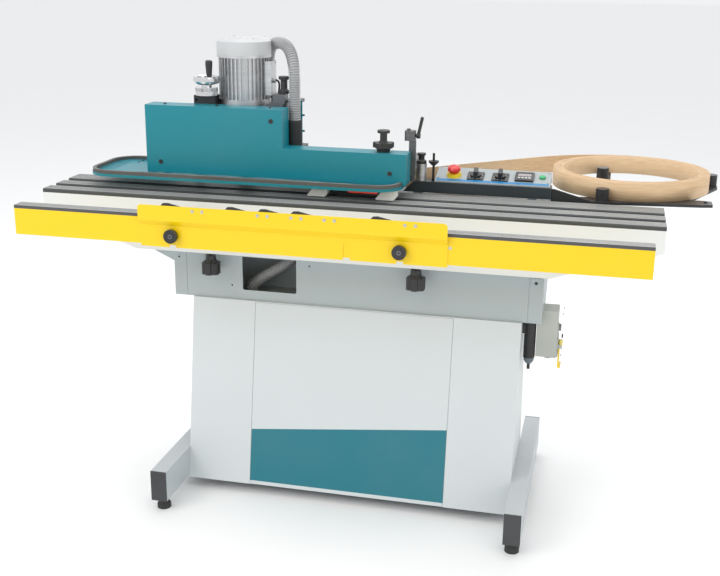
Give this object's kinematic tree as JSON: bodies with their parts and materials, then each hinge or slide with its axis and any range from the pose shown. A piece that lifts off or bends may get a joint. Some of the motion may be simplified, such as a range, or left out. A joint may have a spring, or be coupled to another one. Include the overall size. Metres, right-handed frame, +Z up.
{
  "type": "edge banding machine",
  "caption": "Free-standing edge banding machine with slotted guard, height-set motor head, pull-out support bar, control desk and a coil of edging.",
  "frame": {"origin": "floor level under the middle of the overall plan outline", "axes": "+X along the table to the right as seen by the operator, +Y away from the operator, +Z up"},
  "size_m": [1.918, 1.0072, 1.3255],
  "materials": {
    "grey_paint": "textured paint",
    "white_paint": "satin paint",
    "teal_paint": "satin paint",
    "box_paint": "satin paint",
    "yellow_paint": "satin paint",
    "black_paint": "satin paint",
    "steel": "machined",
    "chrome": "polished",
    "aluminium": "cast",
    "strip_plastic": "ribbed",
    "black_plastic": "matte",
    "grey_plastic": "matte",
    "light_plastic": "matte",
    "white_nylon": "waxy",
    "red_plastic": "gloss",
    "yellow_plastic": "gloss",
    "brown_rubber": "dull",
    "black_rubber": "dull",
    "wood_tape": "oak grain"
  },
  "bodies": {
    "stand": {"foot_beams": "grey_paint", "foot_end_caps": "grey_plastic", "levelling_feet": "black_rubber", "cabinet_shell": "white_paint", "cabinet_front_panel": "teal_paint", "upper_box": "box_paint", "window_hose": "light_plastic", "table_bed": "white_paint", "table_strips": "strip_plastic", "rear_bridge": "white_paint", "arm_guides": "steel", "head_columns": "steel", "console_base": "black_paint", "console_desk": "box_paint", "console_plates": "black_plastic", "stop_button_collar": "yellow_plastic", "coil_holder": "black_paint", "coil_posts": "black_plastic", "edging_tape": "wood_tape", "guide_rod": "black_paint", "regulator_body": "aluminium", "air_filter": "black_plastic", "electric_box": "light_plastic"},
    "head": {"hood_cover": "teal_paint", "head_frame": "steel", "guard_plate": "teal_paint", "guard_edging": "brown_rubber", "pressure_shoes": "white_nylon", "motor_body": "aluminium", "motor_cowl": "light_plastic", "terminal_box": "aluminium", "motor_cable": "black_rubber", "handwheel_block": "steel", "suction_hose": "light_plastic", "hose_cuffs": "black_rubber", "hose_bracket": "teal_paint"},
    "handwheel": {"handwheel": "chrome"},
    "handwheel_grip": {"handwheel_grip": "black_plastic"},
    "fine_adjust": {"fine_adjust_knob": "black_plastic"},
    "limit": {"limit_knob": "black_plastic"},
    "lever": {"clamp_lever": "black_paint"},
    "rotor": {"motor_rotor": "steel"},
    "support": {"support_bar": "yellow_paint", "bar_strip": "strip_plastic", "support_arms": "steel"},
    "stop": {"stop_plate": "yellow_paint", "stop_fingers": "black_plastic"},
    "plate_knob_left": {"plate_knob_left": "black_plastic"},
    "plate_knob_right": {"plate_knob_right": "black_plastic"},
    "arm_knob_left": {"arm_knob_left": "black_plastic"},
    "arm_knob_right": {"arm_knob_right": "black_plastic"},
    "roller": {"pressure_roller": "black_rubber"},
    "coil": {"edging_coil": "wood_tape"},
    "stop_button": {"stop_button": "red_plastic"},
    "rotary_left": {"rotary_switch_left": "black_plastic"},
    "rotary_right": {"rotary_switch_right": "black_plastic"},
    "regulator": {"regulator_knob": "black_plastic"},
    "flap": {"switch_flap": "yellow_plastic"},
    "start": {"start_button": "grey_plastic"}
  },
  "joints": [
    {"name": "head_lift", "type": "slide", "parent": "stand", "child": "head", "axis": [0, 0, 1], "range_m": [-0.002, 0.035]},
    {"name": "handwheel_turn", "type": "hinge", "parent": "head", "child": "handwheel", "pos_m": [-0.527, -0.0534, 1.2], "axis": [0, 0, 1], "range_deg": [-180, 3150]},
    {"name": "handwheel_grip_spin", "type": "hinge", "parent": "handwheel", "child": "handwheel_grip", "pos_m": [-0.509, -0.0764, 1.24], "axis": [0, 0, 1], "continuous": true},
    {"name": "fine_adjust_turn", "type": "hinge", "parent": "head", "child": "fine_adjust", "pos_m": [0.015, -0.1024, 1.05], "axis": [0, 0, 1], "range_deg": [-360, 360]},
    {"name": "limit_knob_turn", "type": "hinge", "parent": "head", "child": "limit", "pos_m": [-0.297, -0.0314, 1.19], "axis": [0, 0, 1], "range_deg": [-360, 360]},
    {"name": "clamp_lever_swing", "type": "hinge", "parent": "head", "child": "lever", "pos_m": [0.107, -0.0674, 1.072], "axis": [1, 0, 0], "range_deg": [-70, 45]},
    {"name": "motor_spin", "type": "hinge", "parent": "head", "child": "rotor", "pos_m": [-0.434, 0.0176, 1.2], "axis": [0, 0, 1], "continuous": true},
    {"name": "support_slide", "type": "slide", "parent": "stand", "child": "support", "axis": [0, 1, 0], "range_m": [0, 0.165]},
    {"name": "stop_plate_lift", "type": "slide", "parent": "support", "child": "stop", "axis": [0, 0, 1], "range_m": [-0.007, 0.026]},
    {"name": "plate_knob_left_turn", "type": "hinge", "parent": "support", "child": "plate_knob_left", "pos_m": [-0.468, -0.4844, 0.846], "axis": [0, 1, 0], "range_deg": [-180, 180]},
    {"name": "plate_knob_right_turn", "type": "hinge", "parent": "support", "child": "plate_knob_right", "pos_m": [0.142, -0.4844, 0.846], "axis": [0, 1, 0], "range_deg": [-180, 180]},
    {"name": "arm_knob_left_turn", "type": "hinge", "parent": "stand", "child": "arm_knob_left", "pos_m": [-0.465, -0.2214, 0.7], "axis": [0, 0, 1], "range_deg": [-360, 360]},
    {"name": "arm_knob_right_turn", "type": "hinge", "parent": "stand", "child": "arm_knob_right", "pos_m": [0.138, -0.2214, 0.7], "axis": [0, 0, 1], "range_deg": [-360, 360]},
    {"name": "pressure_roller_spin", "type": "hinge", "parent": "stand", "child": "roller", "pos_m": [-0.183, -0.0031, 0.92], "axis": [0, 0, 1], "continuous": true},
    {"name": "coil_spin", "type": "hinge", "parent": "stand", "child": "coil", "pos_m": [0.701, 0.2411, 0.927], "axis": [0, 0, 1], "continuous": true},
    {"name": "stop_button_press", "type": "slide", "parent": "stand", "child": "stop_button", "axis": [0, 0.2733, -0.9619], "range_m": [0, 0.004], "stiffness_N_per_m": 2000},
    {"name": "rotary_left_turn", "type": "hinge", "parent": "stand", "child": "rotary_left", "pos_m": [0.263, 0.0286, 0.94608], "axis": [0, -0.2733, 0.9619], "range_deg": [-45, 45]},
    {"name": "rotary_right_turn", "type": "hinge", "parent": "stand", "child": "rotary_right", "pos_m": [0.334, 0.0286, 0.94608], "axis": [0, -0.2733, 0.9619], "range_deg": [-45, 45]},
    {"name": "regulator_knob_turn", "type": "hinge", "parent": "stand", "child": "regulator", "pos_m": [0.106, 0.0046, 0.99], "axis": [0, 0, 1], "range_deg": [-360, 360]},
    {"name": "switch_flap_swing", "type": "hinge", "parent": "stand", "child": "flap", "pos_m": [0.5413, -0.1124, 0.505], "axis": [0, -1, 0], "range_deg": [0, 110]},
    {"name": "start_button_press", "type": "slide", "parent": "stand", "child": "start", "axis": [-1, 0, 0], "range_m": [0, 0.004], "stiffness_N_per_m": 800}
  ],
  "couplings": [
    {"joint": "handwheel_turn", "follows": "head_lift", "rad_per_m": 1570.8}
  ]
}
